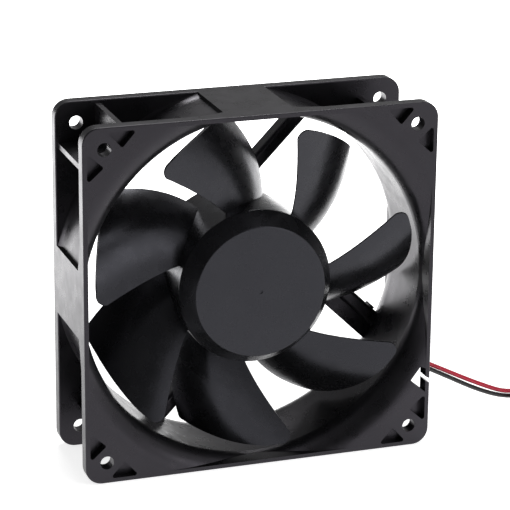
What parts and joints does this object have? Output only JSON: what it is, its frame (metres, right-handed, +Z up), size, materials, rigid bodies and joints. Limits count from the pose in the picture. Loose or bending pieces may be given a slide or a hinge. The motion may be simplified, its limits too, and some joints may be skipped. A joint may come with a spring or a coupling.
{
  "type": "case fan",
  "caption": "Square axial cooling fan: bell-mouth duct housing with four offset struts, blade impeller on a ball-bearing motor, and a red and a black lead out of a corner notch",
  "frame": {"origin": "centre of the housing, on the rotor's axis, midway between the two flange faces", "axes": "+Z up as the fan stands on one side, -Y the hub side where air goes in, +Y the strut side where air leaves, +X the side the leads leave from"},
  "size_m": [0.1905, 0.039, 0.119],
  "materials": {
    "black_plastic": "fine satin moulded finish",
    "bearing_steel": "ground and polished",
    "cage_plastic": "brown moulded polymer",
    "tube_brass": "turned",
    "plated_steel": "pressed and zinc plated",
    "magnet": "bonded ferrite",
    "lamination_steel": "stacked sheets",
    "insulator_plastic": "plain moulded",
    "enamelled_copper": "clear enamel over copper",
    "tinned_pins": "bright solder",
    "board": "green solder mask",
    "chip": "moulded package",
    "resistor": "glazed",
    "capacitor_can": "drawn can",
    "label": "blank film",
    "red_insulation": "smooth PVC",
    "black_insulation": "smooth PVC",
    "tie_plastic": "moulded nylon"
  },
  "bodies": {
    "frame": {"housing": "black_plastic", "front_bearing_outer_ring": "bearing_steel", "front_bearing_shields": "bearing_steel", "rear_bearing_outer_ring": "bearing_steel", "rear_bearing_shields": "bearing_steel", "bearing_tube": "tube_brass", "stator_core": "lamination_steel", "front_insulator": "insulator_plastic", "rear_insulator": "insulator_plastic", "winding_1": "enamelled_copper", "winding_2": "enamelled_copper", "winding_3": "enamelled_copper", "winding_4": "enamelled_copper", "winding_pins": "tinned_pins", "solder_joints": "tinned_pins", "red_lead_end": "tinned_pins", "black_lead_end": "tinned_pins", "circuit_board": "board", "hall_sensor": "chip", "driver_chip": "chip", "diode": "chip", "chip_resistors": "resistor", "capacitor": "capacitor_can", "rear_label": "label", "red_lead": "red_insulation", "red_lead_in_slot": "red_insulation", "red_lead_coil": "red_insulation", "black_lead": "black_insulation", "black_lead_in_slot": "black_insulation", "black_lead_coil": "black_insulation", "coil_tie": "tie_plastic"},
    "rotor": {"impeller": "black_plastic", "rotor_yoke": "plated_steel", "magnet_ring": "magnet", "shaft": "bearing_steel", "retaining_clip": "bearing_steel", "preload_spring": "bearing_steel", "thrust_washer": "bearing_steel", "front_bearing_inner_ring": "bearing_steel", "rear_bearing_inner_ring": "bearing_steel"},
    "front_balls": {"front_bearing_balls": "bearing_steel", "front_bearing_cage": "cage_plastic"},
    "rear_balls": {"rear_bearing_balls": "bearing_steel", "rear_bearing_cage": "cage_plastic"}
  },
  "joints": [
    {"name": "rotor_spin", "type": "hinge", "parent": "frame", "child": "rotor", "pos_m": [0, 0, 0], "axis": [0, -1, 0], "continuous": true},
    {"name": "front_balls_spin", "type": "hinge", "parent": "frame", "child": "front_balls", "pos_m": [0, -0.0039, 0], "axis": [0, -1, 0], "continuous": true},
    {"name": "rear_balls_spin", "type": "hinge", "parent": "frame", "child": "rear_balls", "pos_m": [0, 0.0114, 0], "axis": [0, -1, 0], "continuous": true}
  ],
  "couplings": [
    {"joint": "front_balls_spin", "follows": "rotor_spin", "ratio": 0.3933},
    {"joint": "rear_balls_spin", "follows": "rotor_spin", "ratio": 0.3933}
  ]
}
